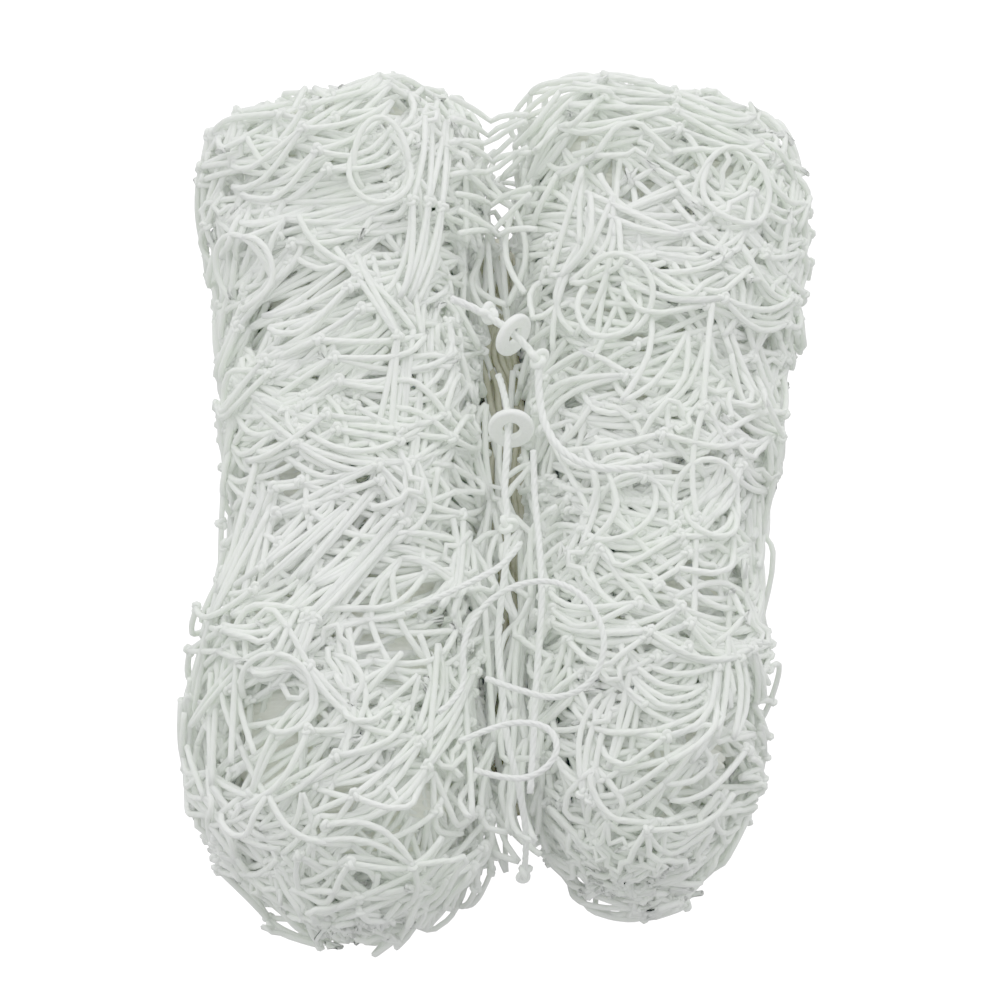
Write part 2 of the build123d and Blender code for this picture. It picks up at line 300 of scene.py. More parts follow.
# --- free cords: the cord along the gathered head, the edge cords and the loose loops -------------
CORDS = {
    "head_cord": (0.107, 0.0028, "object", [
        (-0.0160, 0.0515, 0.1028), (-0.0044, 0.0487, 0.0986), (0.0128, 0.0323, 0.1010),
        (0.0124, 0.0204, 0.0986), (0.0144, 0.0082, 0.0995), (0.0198, -0.0018, 0.1030),
        (0.0290, -0.0086, 0.1070), (0.0405, -0.0106, 0.1096), (0.0520, -0.0086, 0.1090)]),
    "side_cord": (0.180, 0.0024, "knot", [
        (-0.0005, 0.0310, 0.0865), (0.0028, 0.0185, 0.0935), (0.0024, 0.0005, 0.0975),
        (0.0012, -0.0115, 0.0965), (0.0027, -0.0245, 0.0965), (0.0020, -0.0370, 0.0945),
        (0.0002, -0.0510, 0.0955), (-0.0009, -0.0650, 0.0950), (0.0007, -0.0790, 0.0925),
        (0.0016, -0.0925, 0.0920), (0.0046, -0.1050, 0.0905), (0.0074, -0.1155, 0.0830),
        (0.0086, -0.1250, 0.0720), (0.0078, -0.1305, 0.0600)]),
    "selvedge_cord": (0.116, 0.0024, "object", [
        (0.0108, 0.0020, 0.0940), (0.0110, -0.0120, 0.0930), (0.0126, -0.0290, 0.0945),
        (0.0136, -0.0470, 0.0980), (0.0126, -0.0650, 0.0970), (0.0112, -0.0820, 0.0940),
        (0.0106, -0.0990, 0.0935), (0.0096, -0.1130, 0.0905)]),
    "wide_loop": (0.148, 0.0022, "object", [
        (-0.0195, -0.0900, 0.1030), (-0.0105, -0.0820, 0.0975), (-0.0126, -0.0680, 0.1015),
        (-0.0070, -0.0545, 0.1005), (0.0040, -0.0466, 0.1015), (0.0175, -0.0458, 0.1045),
        (0.0285, -0.0540, 0.1090), (0.0342, -0.0685, 0.1105), (0.0300, -0.0815, 0.1070),
        (0.0185, -0.0856, 0.1020), (0.0065, -0.0815, 0.0986), (-0.0045, -0.0765, 0.0964)]),
    "crossing_bar": (0.049, 0.0022, "object", [
        (-0.0300, -0.0595, 0.1115), (-0.0196, -0.0536, 0.1092), (-0.0076, -0.0460, 0.1045),
        (0.0020, -0.0394, 0.1008), (0.0066, -0.0314, 0.0986)]),
    "small_loop": (0.070, 0.0022, "object", [
        (-0.0130, -0.0995, 0.1020), (-0.0025, -0.0936, 0.0992), (0.0080, -0.0914, 0.0984),
        (0.0166, -0.0946, 0.1006), (0.0188, -0.1028, 0.1010), (0.0126, -0.1094, 0.0988),
        (0.0030, -0.1108, 0.0968), (-0.0080, -0.1076, 0.0980)]),
}
# Overhand knots tied in the cords: the cord, the knots' size, and their middles.
CORD_KNOTS = {
    "head_cord": ("head_cord_knots", 0.0072, [(-0.0040, 0.0482, 0.0988), (0.0124, 0.0316, 0.1006)]),
    "side_cord": ("side_cord_knots", 0.0064, [(0.0025, -0.0244, 0.0964), (0.0078, -0.1305, 0.0600)]),
}
PLIES = 3
PLY_OFFSET = 0.17            # of a ply from the cord's middle, as a share of its diameter
LAY = 4.2                    # length of one turn of the plies, in cord diameters
TIED_SIZE = 0.82             # how much of a knot's size the middle line of its cord takes up
TIED_RADIUS = 0.46           # radius of the cord in a knot, as a share of its diameter
TIED_STEPS = 37


def nurbs_line(name, route):
    """The points along the smooth NURBS line that has the route as its control points."""
    curve = bpy.data.curves.new(name, "CURVE")
    curve.dimensions = "3D"
    curve.resolution_u = 10
    spline = curve.splines.new("NURBS")
    spline.points.add(len(route) - 1)
    for point, place in zip(spline.points, route):
        point.co = (*place, 1)
    spline.order_u = 3
    spline.use_endpoint_u = True
    thing = bpy.data.objects.new(name, curve)
    mesh = bpy.data.meshes.new_from_object(thing)
    line = np.array([vertex.co for vertex in mesh.vertices])
    bpy.data.objects.remove(thing)
    bpy.data.meshes.remove(mesh)
    return line


def plied(line, diameter):
    """Three plies twisted round a line."""
    line = line[None]
    normals, others = frames(line)
    lengths = np.linalg.norm(np.diff(line, axis=1), axis=2)
    run = np.concatenate([np.zeros((1, 1)), np.cumsum(lengths, axis=1)], axis=1)[..., None]
    turn = run * 2 * pi / (LAY * diameter)
    lines = [line + PLY_OFFSET * diameter * (np.cos(turn + 2 * pi * ply / PLIES) * normals
                                             + np.sin(turn + 2 * pi * ply / PLIES) * others)
             for ply in range(PLIES)]
    return tubes(np.concatenate(lines), (0.5 - PLY_OFFSET) * diameter)


for name, (length, diameter, far_end, route) in CORDS.items():
    line = nurbs_line(name, route)
    cord = new_mesh(name + "_plied", *plied(line, diameter), look=CORD_LOOK)
    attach(cord, BODY)
    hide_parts(name)
    if name in CORD_KNOTS:
        node, size, places = CORD_KNOTS[name]
        places = np.array(places)
        nearest = [int(np.argmin(np.linalg.norm(line - place, axis=1))) for place in places]
        ways = np.array([line[min(n + 2, len(line) - 1)] - line[max(n - 2, 0)] for n in nearest])
        tied = knot_lines(places, ways, size * TIED_SIZE, TIED_STEPS)
        knots = new_mesh(node + "_tied", *tubes(tied, diameter * TIED_RADIUS), look=CORD_LOOK)
        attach(knots, BODY)
        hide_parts(node)

# --- netting: sizes ----------------------------------------------------------
TWINE = 0.0021
BAR = 0.045                  # twine from one mesh knot to the next, which the bars are drawn towards
LINKS = 10                   # straight links that a bar is divided into
SHELL = 0.026                # depth of the outer wraps that is made of separate strands
CAP = 0.050                  # length of a half's rounded end, measured on its axis
AXIS_HEIGHT = 0.054
HALF_WIDTH = 0.05            # how far the sides of a half are from its axis, near enough
TYPICAL_REACH = 0.055        # distance from the axis to the surface, near enough
CORE = 0.004                 # no strand comes nearer to the axis than this
OUTSIDE = 0.2                # a distance from the axis that is outside the whole bundle
UNMET_REACH = 0.03           # the reach where a direction meets no wrap
FLOOR_GAP = 0.0013
PROUD = 0.0025               # how far a slack bar may stand out of the bundle
PROUD_SHARE = 0.06
PASSES = 45
KEEP_HOME = 0.05             # pull of a knot back to where it was laid
FLOW_ON = 0.4                # how strongly strands run smoothly on through a knot
KNOT_SIZE = 0.0034
KNOT_RADIUS = 0.42           # radius of the twine in a mesh knot, as a share of its thickness
KNOT_DEPTH = 0.0045          # mesh knots deeper than this are out of sight
LEAST_DEPTH = 0.0012         # of the knots of a fold
# Netting wound round a half, under the surface.
PACKED_DEPTH = 0.0235
WOUND_COLUMN = 0.84          # part of a bar's length from one knot to the next
WOUND_ROWS = 480             # rows of knots per metre of a half's length
WOUND_LAYERS = 3
WOUND_DEPTHS = (0.006, 0.024)
BUNCH = 5                    # neighbouring rows that gather into one bundle
# Gathered folds of netting that lie over it, bars side by side.
FOLDS_PER_METRE = 700        # folds in a wrap, per metre of its width
GO_ROUND, GO_UNDER = 0.62, 0.86   # a fold's random share: it goes round, crosses under, or else strays
TUCK = 0.005                 # how far the ends of a fold go in under their neighbours
END_INSET = 0.14             # of the wound netting from the tips of a half, as a share of its cap
FOLD_INSET = 0.08            # of the folds, likewise
SWIRL = 0.009                # how far the netting's lines wander
SWIRL_WAVE = 0.075           # length of the shortest waves that they wander in
SWIRLS = 6

# Each half: the X of its axis at the near and far end, and its ends along Y.
HALVES = {
    "left": dict(axis_x=(-0.049, -0.053), ends=(-0.150, 0.150)),
    "right": dict(axis_x=(0.046, 0.052), ends=(-0.136, 0.148)),
}
# Where the slack netting swells or sinks at the far ends: distance past the end of the axis, angle
# round the half in degrees, share of the reach, and how far it carries on along and round.
SWELLS = {
    "left": [],
    "right": [(0.030, 75, -0.17, 0.030, 42), (0.026, 150, 0.11, 0.026, 30)],
}
# The creases that part each half into wraps: Y on the axis, and slope in degrees.
CREASES = {
    "left": [(-0.086, 8), (-0.029, 0), (0.020, 5), (0.064, 9)],
    "right": [(-0.080, 4), (-0.015, 2), (0.042, -6), (0.088, 0)],
}
WRAPS = ["bottom", "lower", "middle", "upper", "top"]
# Heading of most strands in each wrap, in degrees from straight across the half.
HEADINGS = {"left": [15, 12, 0, 9, 14], "right": [7, 4, 1, -9, 3]}
# Folds that show on the crests: X and Y in millimetres, heading of the bars in degrees from +X, how
# many bars wide and long, millimetres between bars, how much they fan out, and how far they curve.
FLOWS = {
    "left": [
        (-48, 57, 19, 8, 3, 3.0, 0.0, 1.0), (-58, 30, 12, 6, 3, 3.4, 0.1, 0.0),
        (-58, 12, 8, 6, 3, 3.2, 0.0, -1.5), (-55, -104, 20, 6, 3, 4.2, 0.1, 2.0),
        (-46, -132, 10, 6, 3, 3.6, 0.0, 2.5), (-12, -38, 74, 6, 2, 3.0, 0.2, 0.0),
        (-56, -66, -30, 5, 2, 4.2, 0.3, 0.0), (-32, -14, 62, 6, 2, 3.4, 0.2, 2.0),
        (-76, -42, 24, 6, 2, 3.6, 0.2, 0.0), (-24, 84, 68, 7, 3, 2.6, 0.1, -2.0),
        (-62, 104, 14, 8, 3, 2.6, 0.0, 3.0), (-22, -84, 80, 5, 2, 3.0, 0.1, 0.0),
        (-40, -88, 38, 5, 2, 4.0, 0.2, 2.0),
    ],
    "right": [
        (58, 118, 3, 9, 3, 2.6, 0.0, -1.5), (20, 78, 55, 7, 2, 3.0, 0.3, 0.0),
        (49, 27, 58, 5, 2, 5.0, 0.25, 0.0), (48, -4, 4, 6, 3, 3.0, 0.0, 5.0),
        (58, -59, 4, 7, 3, 3.0, 0.0, 1.0), (54, -116, 8, 5, 3, 4.0, 0.1, 1.5),
        (14, -108, 88, 5, 2, 2.6, 0.0, 0.0), (74, -79, 90, 4, 2, 3.2, 0.0, 0.0),
        (78, 62, 100, 6, 2, 3.2, 0.1, -2.0), (44, 84, -24, 6, 2, 3.4, 0.2, 0.0),
        (22, -20, 82, 5, 2, 3.0, 0.1, 0.0), (66, -32, 48, 5, 2, 4.2, 0.2, 3.0),
        (40, -84, 68, 5, 2, 3.8, 0.2, 0.0),
    ],
}
# Slack bars curled into rounds: X, Y and radius in millimetres.
ROUNDS = {
    "left": [(-88, 66, 12), (-74, -84, 12), (-34, 100, 13)],
    "right": [(38, -22, 15), (70, -18, 12), (34, 54, 12), (78, 92, 13)],
}
# The valley: X of its middle line along Y, and how the halves round off into it.
VALLEY_Y = (-0.150, -0.118, -0.086, -0.058, -0.029, -0.004, 0.020, 0.042, 0.064, 0.098, 0.124, 0.150)
VALLEY_X = (0.005, 0.004, 0.001, 0.003, 0.0055, 0.0035, 0.002, 0.001, 0.0, -0.002, -0.004, -0.005)
VALLEY_ROUND = 0.040
VALLEY_CREST = 0.1065
# Netting along the valley: rows, knots in a row, Y of the first, half its width, and its depth.
VALLEY_LAYERS = [(8, 4, -0.118, 0.016, 0.005), (8, 5, -0.118, 0.010, 0.016), (4, 6, -0.112, 0.003, 0.034),
                 (9, 3, 0.068, 0.012, 0.010), (9, 3, 0.068, 0.010, 0.026), (7, 3, 0.068, 0.008, 0.045),
                 (9, 3, -0.128, 0.011, 0.024), (9, 3, -0.128, 0.009, 0.042)]
# Bars that hang across the valley near the far end: Y, and how far they lean along it.
BRIDGES = [(0.082, -0.006), (0.086, 0.012), (0.092, 0.002), (0.098, -0.010), (0.103, 0.008),
           (0.108, -0.004), (0.113, 0.006), (0.118, 0.000), (0.123, -0.006)]
BRIDGE_HALF = 0.020
VALLEY_STEP = 0.0345         # along the valley from one knot to the next
VALLEY_KNOTS = (-0.128, 0.120)    # Y that the valley's knots stay between
VALLEY_PROUD = 0.001         # how far its strands may stand out of the slopes
# The back of the fold: the Y of its ends, and its strands' spacing across and upward.
BACK_ENDS = (-0.094, 0.110)
BACK_LEVELS, BACK_ROWS, BACK_STEPS = 14, 6, 60
BACK_ACROSS, BACK_UPWARD = 0.0021, 0.0030
BACK_FIRST = 0.0024          # height of its lowest strands
BACK_HALF = 0.118            # where its strands have come down to the floor
# The skin of packed turns: its fineness, and the ridges on it.
PACKED_ROWS, PACKED_COLUMNS = 440, 120
RIDGE_WIDTH, RIDGE_HEIGHT = 0.0058, 0.0016


class Half:
    """The outer shape of one half, as its distance from an axis in every direction."""

    STEPS_ALONG = 96
    STEPS_ROUND = 96

    def __init__(self, name, axis_x, ends):
        self.name = name
        self.start = np.array([axis_x[0], ends[0] + CAP, AXIS_HEIGHT])
        self.end = np.array([axis_x[1], ends[1] - CAP, AXIS_HEIGHT])
        run = self.end - self.start
        self.length = float(np.linalg.norm(run))
        self.axis = run / self.length
        self.across = np.array([self.axis[1], -self.axis[0], 0.0])
        self.low, self.high = -CAP, self.length + CAP
        self.waves = chance.uniform(-1, 1, (SWIRLS, 2)) * 2 * pi / SWIRL_WAVE
        self.phases = chance.uniform(0, 2 * pi, (SWIRLS, 2))
        self.reach = self.measure([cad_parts[f"{name}_{wrap}_wrap"] for wrap in WRAPS])
        for past, angle, share, long, wide in SWELLS[name]:
            self.swell(past, angle, share, long, wide)

    def grid(self):
        """Places all along and round the half."""
        return np.meshgrid(np.linspace(self.low, self.high, self.STEPS_ALONG),
                           np.linspace(-pi, pi, self.STEPS_ROUND + 1), indexing="ij")

    def swell(self, past, angle, share, long, wide):
        """Lets the outer shape swell or sink about a place past the far end of the axis."""
        along, around = self.grid()
        turn = np.mod(around - radians(angle) + pi, 2 * pi) - pi
        off = ((along - self.length - past) / long) ** 2 + (turn / radians(wide)) ** 2
        self.reach *= 1 + share * np.exp(-off)

    def directions(self, along, around):
        """Axis points and outward directions for places along and round the half."""
        level = np.clip(along, 0, self.length)
        tilt = (along - level) / CAP * pi / 2
        radial = np.cos(around)[..., None] * self.across + np.sin(around)[..., None] * np.array([0, 0, 1])
        out = np.cos(tilt)[..., None] * radial + np.sin(tilt)[..., None] * self.axis
        return self.start + level[..., None] * self.axis, out

    def measure(self, nodes):
        """How far the CAD wraps reach from the axis, looked up by rays from outside."""
        points, faces = [], []
        for node in nodes:
            first = len(points)
            points += [vertex.co for vertex in node.data.vertices]
            faces += [[first + i for i in polygon.vertices] for polygon in node.data.polygons]
        tree = BVHTree.FromPolygons(points, faces)
        along, around = self.grid()
        origins, out = self.directions(along, around)
        reach = np.zeros(along.shape)
        for index in np.ndindex(along.shape):
            origin, way = Vector(origins[index]), Vector(out[index])
            hit = tree.ray_cast(origin + way * OUTSIDE, -way)
            reach[index] = OUTSIDE - hit[3] if hit[0] else UNMET_REACH
        return reach

    def reach_at(self, along, around):
        """The outer shape's distance from the axis, smoothly between the measured directions."""
        i = np.clip((along - self.low) / (self.high - self.low), 0, 1) * (self.STEPS_ALONG - 1)
        j = np.mod((around + pi) / (2 * pi), 1.0) * self.STEPS_ROUND
        i0 = np.minimum(i.astype(int), self.STEPS_ALONG - 2)
        j0 = np.minimum(j.astype(int), self.STEPS_ROUND - 1)
        a, b = i - i0, j - j0
        grid = self.reach
        return ((1 - a) * (1 - b) * grid[i0, j0] + a * (1 - b) * grid[i0 + 1, j0]
                + (1 - a) * b * grid[i0, j0 + 1] + a * b * grid[i0 + 1, j0 + 1])

    def place(self, along, around, depth):
        origins, out = self.directions(along, around)
        return origins + (self.reach_at(along, around) - depth)[..., None] * out

    def swirl(self, along, around):
        """Lets places wander over the half together, so that the lines of the netting bend."""
        far_round = TYPICAL_REACH * around
        shift = [sum(np.sin(wave[0] * along + wave[1] * far_round + phase[n])
                     for wave, phase in zip(self.waves, self.phases)) * SWIRL * (2 / SWIRLS) ** 0.5
                 for n in (0, 1)]
        return along + shift[0], around + shift[1] / TYPICAL_REACH

    def above(self, x, y):
        """Along and around of the place on the crest that is straight above X and Y."""
        along, around = y - self.start[1], pi / 2
        level = min(max(along, 0.0), self.length)
        middle = self.start + level * self.axis
        for _ in range(12):
            reach = float(self.reach_at(np.array(along), np.array(around)))
            around = float(np.arccos(np.clip((x - middle[0]) / reach, -0.95, 0.95)))
        return along, around

    def coordinates(self, points):
        """Along, around, distance from the axis and outward direction of points."""
        run = (points - self.start) @ self.axis
        level = np.clip(run, 0, self.length)
        away = points - self.start - level[..., None] * self.axis
        distance = np.linalg.norm(away, axis=-1) + 1e-9
        out = away / distance[..., None]
        tilt = np.arcsin(np.clip(out @ self.axis, -1, 1))
        around = np.arctan2(out[..., 2], out @ self.across)
        return level + tilt * CAP / (pi / 2) * (level != run), around, distance, out

    def contain(self, points, least, most):
        """Moves points back between two depths under the outer shape."""
        along, around, distance, out = self.coordinates(points)
        reach = self.reach_at(along, around)
        kept = np.clip(distance, np.maximum(reach - most, CORE), reach - least)
        points = points + (kept - distance)[..., None] * out
        points[..., 2] = np.maximum(points[..., 2], FLOOR_GAP)
        return points


def smooth_noise(rng, rows, columns, keep):
    """A periodic random field, smoothed so that neighbours in a row and between rows agree."""
    field = rng.normal(size=(rows, columns))
    for _ in range(keep):
        field = field + 0.5 * (np.roll(field, 1, 0) + np.roll(field, -1, 0))
        field = field + 0.6 * (np.roll(field, 1, 1) + np.roll(field, -1, 1))
    field = field - field.mean()
    return field / field.std()


def diamonds(columns, rows):
    """The bars of a strip of diamond mesh, as the numbers of the two knots that each one joins."""
    i, k = np.meshgrid(np.arange(columns), np.arange(rows), indexing="ij")
    number = np.arange(columns * rows).reshape(columns, rows)
    even = (i + k) % 2 == 0
    up, down = even[:-1, :-1], even[:-1, 1:]
    starts = np.concatenate([number[:-1, :-1][up], number[:-1, 1:][down]])
    stops = np.concatenate([number[1:, 1:][up], number[1:, :-1][down]])
    return starts, stops


class Net:
    """Mesh knots and the bars of twine that join them, laid over a half and then relaxed."""

    def __init__(self, half, rng):
        self.half, self.rng = half, rng
        self.knots, self.depths = np.zeros((0, 3)), np.zeros(0)
        self.starts, self.stops = np.zeros(0, int), np.zeros(0, int)
        self.lean = np.zeros(0)

    def add(self, places, depths, starts, stops, lean):
        first = len(self.knots)
        self.knots = np.concatenate([self.knots, places.reshape(-1, 3)])
        self.depths = np.concatenate([self.depths, depths.ravel()])
        self.starts = np.concatenate([self.starts, starts + first])
        self.stops = np.concatenate([self.stops, stops + first])
        self.lean = np.concatenate([self.lean, lean])

    def wind(self, near, far):
        """Netting gathered and wound round and round between two edges, in layers."""
        half, rng = self.half, self.rng
        width = float(far(0.0) - near(0.0))
        middle = float(far(0.0) + near(0.0)) / 2
        girth = 2 * pi * float(np.mean(half.reach_at(np.full(32, middle), np.linspace(-pi, pi, 32))))
        columns = max(6, round(girth / (WOUND_COLUMN * BAR)))
        rows = max(12, round(width * WOUND_ROWS))
        i, k = np.meshgrid(np.arange(columns), np.arange(rows), indexing="ij")
        layer = k * WOUND_LAYERS // rows
        gather = BUNCH / (2 * pi) * np.sin(2 * pi * k / BUNCH + 1.8 * smooth_noise(rng, columns, rows, 3))
        step = (k + gather) * WOUND_LAYERS / rows - layer
        across = np.where(layer % 2 == 0, step, 1 - step)
        across = np.clip(across + 0.12 * smooth_noise(rng, columns, rows, 2), -0.06, 1.06)
        lag = 0.5 * smooth_noise(rng, columns, rows, 1)
        around = (i + lag) / columns * 2 * pi + rng.uniform(0, 2 * pi)
        sideways = np.cos(around) * HALF_WIDTH
        along = near(sideways) * (1 - across) + far(sideways) * across
        along, around = half.swirl(along, around)
        level = (layer + 0.5 + 0.4 * smooth_noise(rng, columns, rows, 1)) / WOUND_LAYERS
        depth = WOUND_DEPTHS[0] + (WOUND_DEPTHS[1] - WOUND_DEPTHS[0]) * np.clip(level, 0, 1)
        flat = np.arange(columns * rows).reshape(columns, rows)
        ahead = np.roll(flat, -1, 0)
        lean = smooth_noise(rng, columns, rows, 1)
        starts = np.concatenate([flat.ravel(), flat[:, :-1].ravel()])
        stops = np.concatenate([ahead.ravel(), ahead[:, 1:].ravel()])
        leans = np.concatenate([lean.ravel(), -lean[:, :-1].ravel()])
        self.add(half.place(along, around, depth), depth, starts, stops, leans)

    def fold(self, along, around, heading, rows, columns, spacing, depth, fan, curve, swirled=False):
        """A gathered strip of diamond mesh laid over the half, its bars side by side."""
        half, rng = self.half, self.rng
        stride = BAR * rng.uniform(0.82, 0.97)
        i, k = np.meshgrid(np.arange(columns), np.arange(rows), indexing="ij")
        s = (i - (columns - 1) / 2) * stride + 0.0035 * rng.normal(size=i.shape)
        spread = 1 + fan * (i - (columns - 1) / 2)
        t = (k - (rows - 1) / 2 + 0.35 * rng.normal(size=i.shape)) * spacing * spread + curve * s ** 2
        turn = radians(heading)
        reach = float(half.reach_at(np.array(along), np.array(around)))
        round_ = around + (s * cos(turn) - t * sin(turn)) / reach
        level = along + s * sin(turn) + t * cos(turn)
        ends = np.abs(2 * i / max(columns - 1, 1) - 1) ** 3
        edges = np.abs(2 * k / max(rows - 1, 1) - 1) ** 2
        deep = depth + TUCK * ends + 0.0012 * edges + 0.0007 * rng.normal(size=i.shape)
        deep = np.clip(deep, LEAST_DEPTH, SHELL)
        if swirled:
            level, round_ = half.swirl(level, round_)
        level = np.clip(level, half.low * (1 - FOLD_INSET), half.high - CAP * FOLD_INSET)
        starts, stops = diamonds(columns, rows)
        lean = rng.normal() + 0.35 * rng.normal(size=len(starts))
        used = np.unique(np.concatenate([starts, stops]))
        number = np.zeros(i.size, int)
        number[used] = np.arange(len(used))
        places = half.place(level, round_, deep).reshape(-1, 3)[used]
        self.add(places, deep.ravel()[used], number[starts], number[stops], lean)

    def scatter(self, near, far, heading):
        """Folds at random places: most go round, some cross under them, a few stray over them."""
        rng = self.rng
        width = float(far(0.0) - near(0.0))
        for _ in range(round(width * FOLDS_PER_METRE)):
            around = rng.uniform(-pi, pi)
            sideways = np.cos(around) * HALF_WIDTH
            share = rng.uniform(0.04, 0.96)
            along = float(near(sideways) * (1 - share) + far(sideways) * share)
            fan, curve, kind = rng.normal(0, 0.10), rng.normal(0, 5.0), rng.random()
            if kind < GO_ROUND:
                turn = -heading + rng.normal(0, 9)
                rows, columns = int(rng.integers(4, 9)), int(rng.integers(4, 7))
                spacing, depth = rng.uniform(0.0021, 0.0042), LEAST_DEPTH + 0.008 * rng.random() ** 1.2
            elif kind < GO_UNDER:
                turn = 90 - heading + rng.normal(0, 22)
                rows, columns = int(rng.integers(3, 7)), int(rng.integers(2, 4))
                spacing, depth = rng.uniform(0.0024, 0.0045), rng.uniform(0.002, 0.009)
            else:
                turn, curve = rng.uniform(0, 180), 2 * curve
                rows, columns = int(rng.integers(2, 4)), int(rng.integers(2, 5))
                spacing, depth = rng.uniform(0.003, 0.007), rng.uniform(0.0010, 0.0025)
            self.fold(along, around, turn, rows, columns, spacing, depth, fan, curve, swirled=True)

    def relax(self):
        """Bends the bars towards their full length, within the outer shape. Most end up shorter."""
        rng, half = self.rng, self.half
        knots, home = self.knots.copy(), self.knots
        bars = len(self.starts)
        t = np.linspace(0, 1, LINKS + 1)
        first, last = knots[self.starts], knots[self.stops]
        chord = np.linalg.norm(last - first, axis=1)
        slack = np.sqrt(np.clip(BAR / np.maximum(chord, 0.012) - 1, 0.004, 1.8))
        out = half.coordinates((first + last) / 2)[3]
        side = np.cross(out, unit(last - first))
        angle = 0.9 * self.lean + 0.35 * rng.normal(size=bars)
        way = np.sign(np.cos(angle))[:, None] * side + 0.45 * np.sin(angle)[:, None] * out
        line = first[:, None] + (last - first)[:, None] * t[None, :, None]
        line += np.sin(pi * t)[None, :, None] * (0.62 * chord * slack)[:, None, None] * way[:, None]
        double = 0.12 * chord * slack * rng.normal(size=bars)
        line += np.sin(2 * pi * t)[None, :, None] * double[:, None, None] * way[:, None]
        rest = BAR / LINKS
        least = np.where(rng.random(bars) < PROUD_SHARE, -PROUD, TWINE * 0.4)[:, None]
        share = (np.bincount(self.starts, minlength=len(knots))
                 + np.bincount(self.stops, minlength=len(knots)))
        for turn in range(PASSES):
            for _ in range(3):
                line[:, 1:-1] += 0.35 * ((line[:, :-2] + line[:, 2:]) / 2 - line[:, 1:-1])
            for parity in (0, 1, 0, 1):
                count = (LINKS + 1 - parity) // 2
                a = line[:, parity:parity + 2 * count:2]
                b = line[:, parity + 1:parity + 1 + 2 * count:2]
                gap = b - a
                long = np.linalg.norm(gap, axis=2, keepdims=True) + 1e-9
                shift = gap * (0.5 * (long - rest) / long)
                a += shift
                b -= shift
            ends, beside = np.zeros_like(knots), np.zeros_like(knots)
            for axis in range(3):
                ends[:, axis] = (np.bincount(self.starts, line[:, 0, axis], len(knots))
                                 + np.bincount(self.stops, line[:, -1, axis], len(knots)))
                beside[:, axis] = (np.bincount(self.starts, line[:, 1, axis], len(knots))
                                   + np.bincount(self.stops, line[:, -2, axis], len(knots)))
            beside = ((1 - FLOW_ON) * ends + FLOW_ON * beside) / np.maximum(share, 1)[:, None]
            knots = KEEP_HOME * home + (1 - KEEP_HOME) * beside
            line[:, 0], line[:, -1] = knots[self.starts], knots[self.stops]
            if turn % 3 == 0 or turn == PASSES - 1:
                line = half.contain(line, least, SHELL + 0.004)
        knots[self.starts], knots[self.stops] = line[:, 0], line[:, -1]
        knots[:, 2] = np.maximum(knots[:, 2], KNOT_SIZE / 2 + FLOOR_GAP / 2)
        line[:, 0], line[:, -1] = knots[self.starts], knots[self.stops]
        self.knots, self.line, self.used = knots, line, share > 0

    def knot_shapes(self):
        """The mesh knots that can be seen, each along one of its own bars."""
        seen = np.flatnonzero((self.depths < KNOT_DEPTH) & self.used)
        ways = np.zeros_like(self.knots)
        ways[self.stops] = self.line[:, -1] - self.line[:, -3]
        ways[self.starts] = self.line[:, 2] - self.line[:, 0]
        return knot_lines(self.knots[seen], ways[seen], KNOT_SIZE)


def rounds(half, places, rng):
    """Slack bars curled round on the crest, a few turns each."""
    lines = []
    t = np.linspace(0, 1, 26)
    for x, y, radius in places:
        along, around = half.above(x / 1000, y / 1000)
        reach = float(half.reach_at(np.array(along), np.array(around)))
        for _ in range(2):
            size = 1 + 0.10 * rng.normal() + 0.16 * np.sin(2 * pi * t + rng.uniform(0, 2 * pi))
            size = radius / 1000 * size
            start, sweep = rng.uniform(0, 2 * pi), rng.uniform(1.2, 1.8) * pi
            turn = start + sweep * t
            level = along + 0.0015 * rng.normal() + size * np.sin(turn)
            round_ = around + (0.0015 * rng.normal() + size * np.cos(turn)) / reach
            deep = 0.0026 + 0.006 * np.abs(2 * t - 1) ** 3 + 0.0015 * rng.random()
            lines.append(half.place(level, round_, deep))
    return np.array(lines)


class Valley:
    """The slopes between the halves, as a place to lay netting on."""

    def slope(self, across):
        """Height of the slopes at distances from the valley's middle line."""
        near = np.clip(VALLEY_ROUND - np.abs(across), 0, VALLEY_ROUND - 0.0004)
        return VALLEY_CREST - VALLEY_ROUND + np.sqrt(VALLEY_ROUND ** 2 - near ** 2)

    def place(self, along, across, depth):
        height = self.slope(across) - depth
        return np.stack([np.interp(along, VALLEY_Y, VALLEY_X) + across, along, height], axis=-1)

    def coordinates(self, points):
        upward = np.zeros_like(points)
        upward[..., 2] = 1
        return None, None, None, upward

    def contain(self, points, least, most):
        across = points[..., 0] - np.interp(points[..., 1], VALLEY_Y, VALLEY_X)
        highest = self.slope(across) + VALLEY_PROUD
        points[..., 2] = np.clip(points[..., 2], FLOOR_GAP, np.maximum(highest, FLOOR_GAP))
        return points


